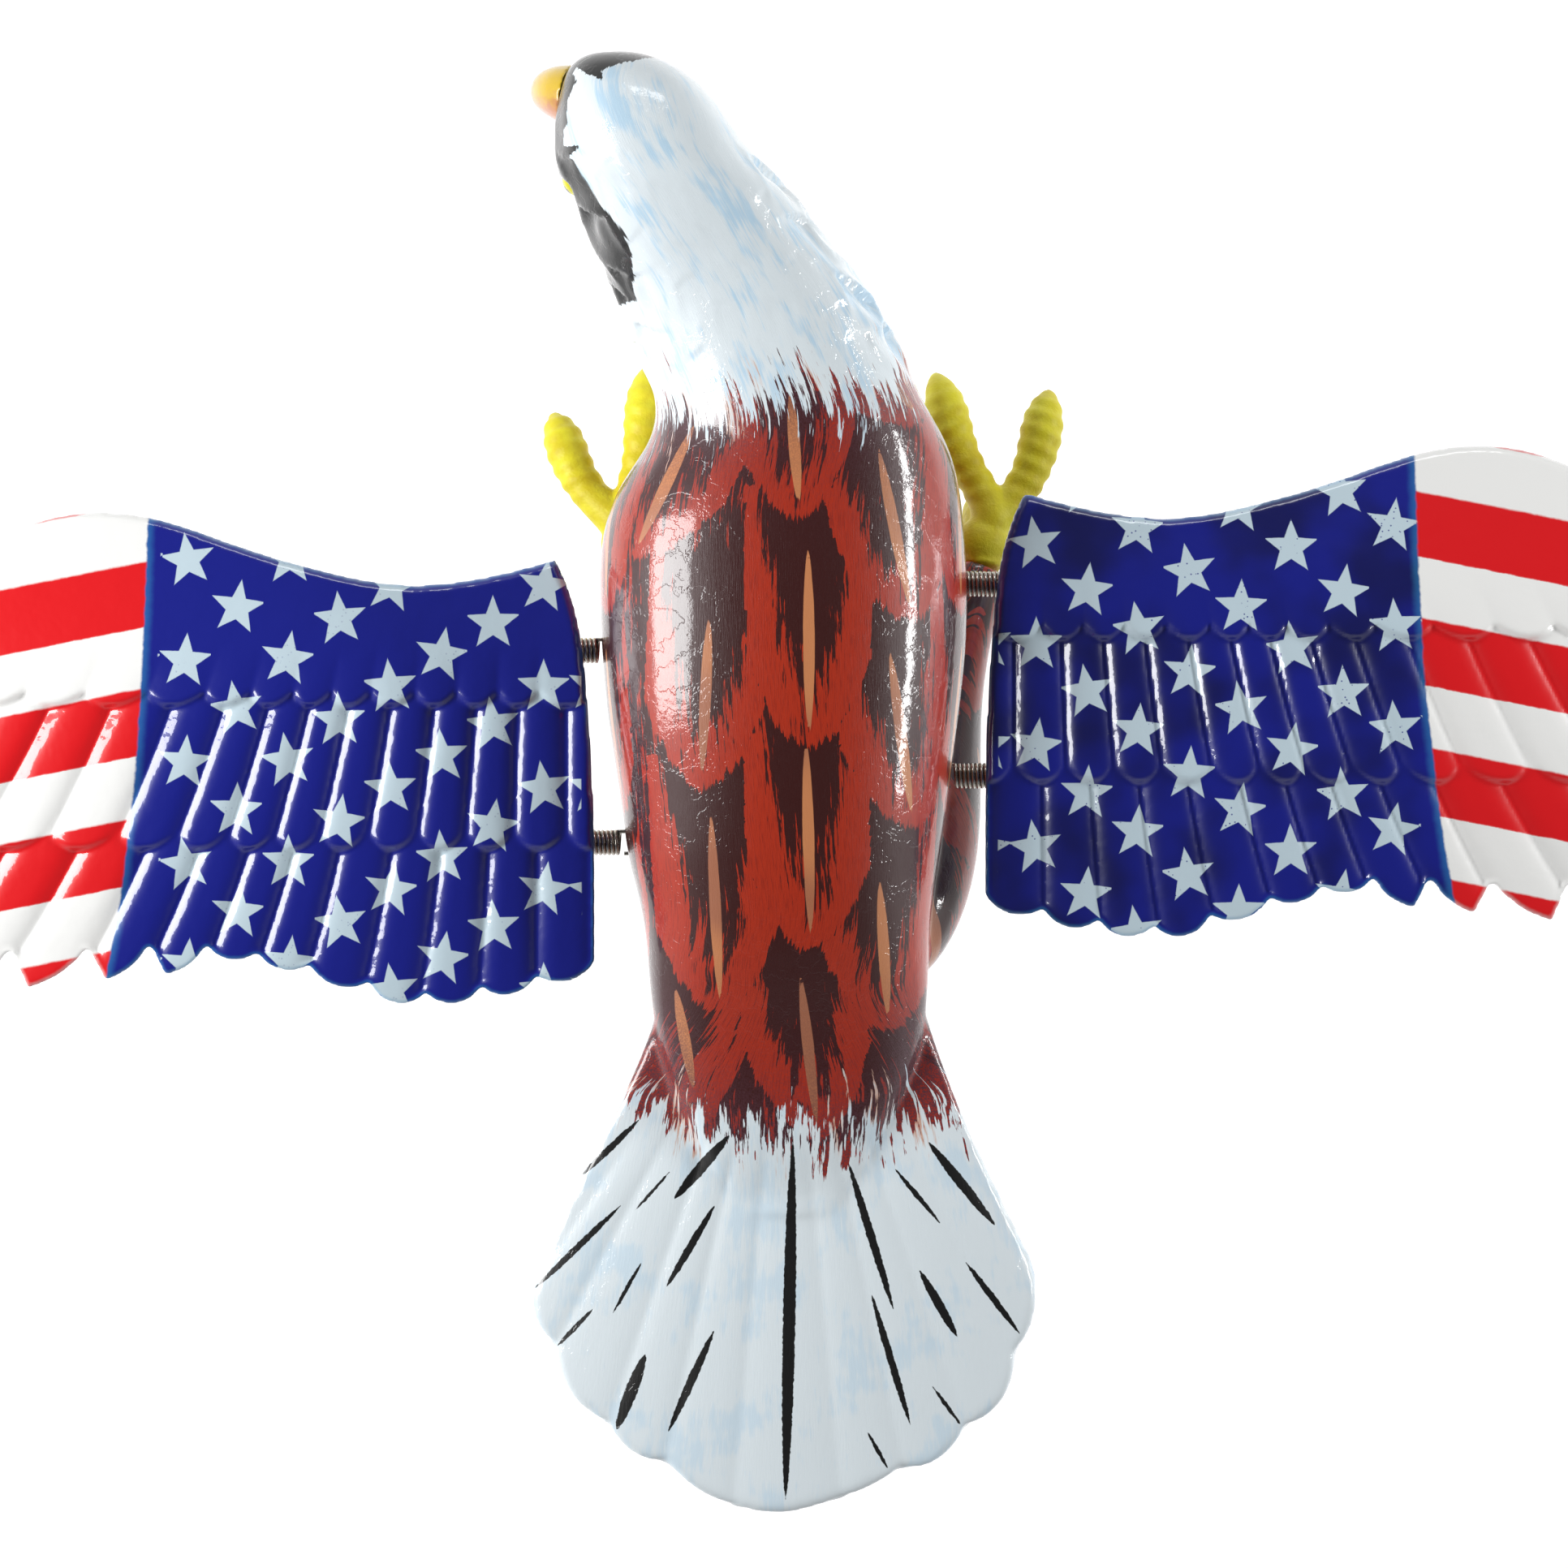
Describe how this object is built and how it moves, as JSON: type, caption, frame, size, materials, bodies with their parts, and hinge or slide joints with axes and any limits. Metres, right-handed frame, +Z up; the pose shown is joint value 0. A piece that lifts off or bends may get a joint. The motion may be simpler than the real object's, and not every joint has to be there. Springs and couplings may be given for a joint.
{
  "type": "motion wing decoy",
  "caption": "Painted flying eagle decoy with a hollow body, fan tail, soft feet and stars-and-stripes wings that flap on coil springs, for a garden stake.",
  "frame": {"origin": "mouth of the stake socket in the belly, on its axis", "axes": "+Z up, +Y forward to the head, +X to the bird's right"},
  "size_m": [0.5092, 0.3342, 0.1119],
  "materials": {
    "painted_shell": "hand-painted under a clear gloss coat",
    "painted_beak": "hand-painted under a clear gloss coat",
    "eye": "clear gloss",
    "yellow_rubber": "soft satin",
    "socket_plastic": "moulded matte",
    "pin_steel": "bright",
    "spring_steel": "nickel plated",
    "wing_print": "printed under clear gloss",
    "bracket_plastic": "moulded satin",
    "screw_steel": "zinc plated",
    "washer_steel": "zinc plated"
  },
  "bodies": {
    "body": {"back_shell": "painted_shell", "belly_shell": "painted_shell", "beak": "painted_beak", "left_eye": "eye", "right_eye": "eye", "left_thigh": "painted_shell", "right_thigh": "painted_shell", "left_foot": "yellow_rubber", "right_foot": "yellow_rubber", "stake_socket": "socket_plastic", "spring_pins": "pin_steel"},
    "left_springs": {"left_front_spring": "spring_steel", "left_rear_spring": "spring_steel"},
    "left_wing": {"left_wing": "wing_print", "left_wing_bracket": "bracket_plastic", "left_wing_screws": "screw_steel", "left_wing_washers": "washer_steel"},
    "right_springs": {"right_front_spring": "spring_steel", "right_rear_spring": "spring_steel"},
    "right_wing": {"right_wing": "wing_print", "right_wing_bracket": "bracket_plastic", "right_wing_screws": "screw_steel", "right_wing_washers": "washer_steel"}
  },
  "joints": [
    {"name": "left_wing_flap", "type": "hinge", "parent": "body", "child": "left_springs", "pos_m": [-0.0455, -0.0075, 0.04], "axis": [0, 1, 0], "range_deg": [-26, 26], "stiffness_Nm_per_rad": 0.8, "springref_deg": 3.21, "deforming": ["left_front_spring", "left_rear_spring"]},
    {"name": "left_wing_rock", "type": "hinge", "parent": "left_springs", "child": "left_wing", "pos_m": [-0.052, -0.0075, 0.04], "axis": [-1, 0, 0], "range_deg": [-6, 6], "stiffness_Nm_per_rad": 0.3, "deforming": ["left_front_spring", "left_rear_spring"]},
    {"name": "right_wing_flap", "type": "hinge", "parent": "body", "child": "right_springs", "pos_m": [0.045, 0.008, 0.04], "axis": [0, -1, 0], "range_deg": [-26, 26], "stiffness_Nm_per_rad": 0.8, "springref_deg": 3.21, "deforming": ["right_front_spring", "right_rear_spring"]},
    {"name": "right_wing_rock", "type": "hinge", "parent": "right_springs", "child": "right_wing", "pos_m": [0.052, 0.008, 0.04], "axis": [1, 0, 0], "range_deg": [-6, 6], "stiffness_Nm_per_rad": 0.3, "deforming": ["right_front_spring", "right_rear_spring"]}
  ]
}
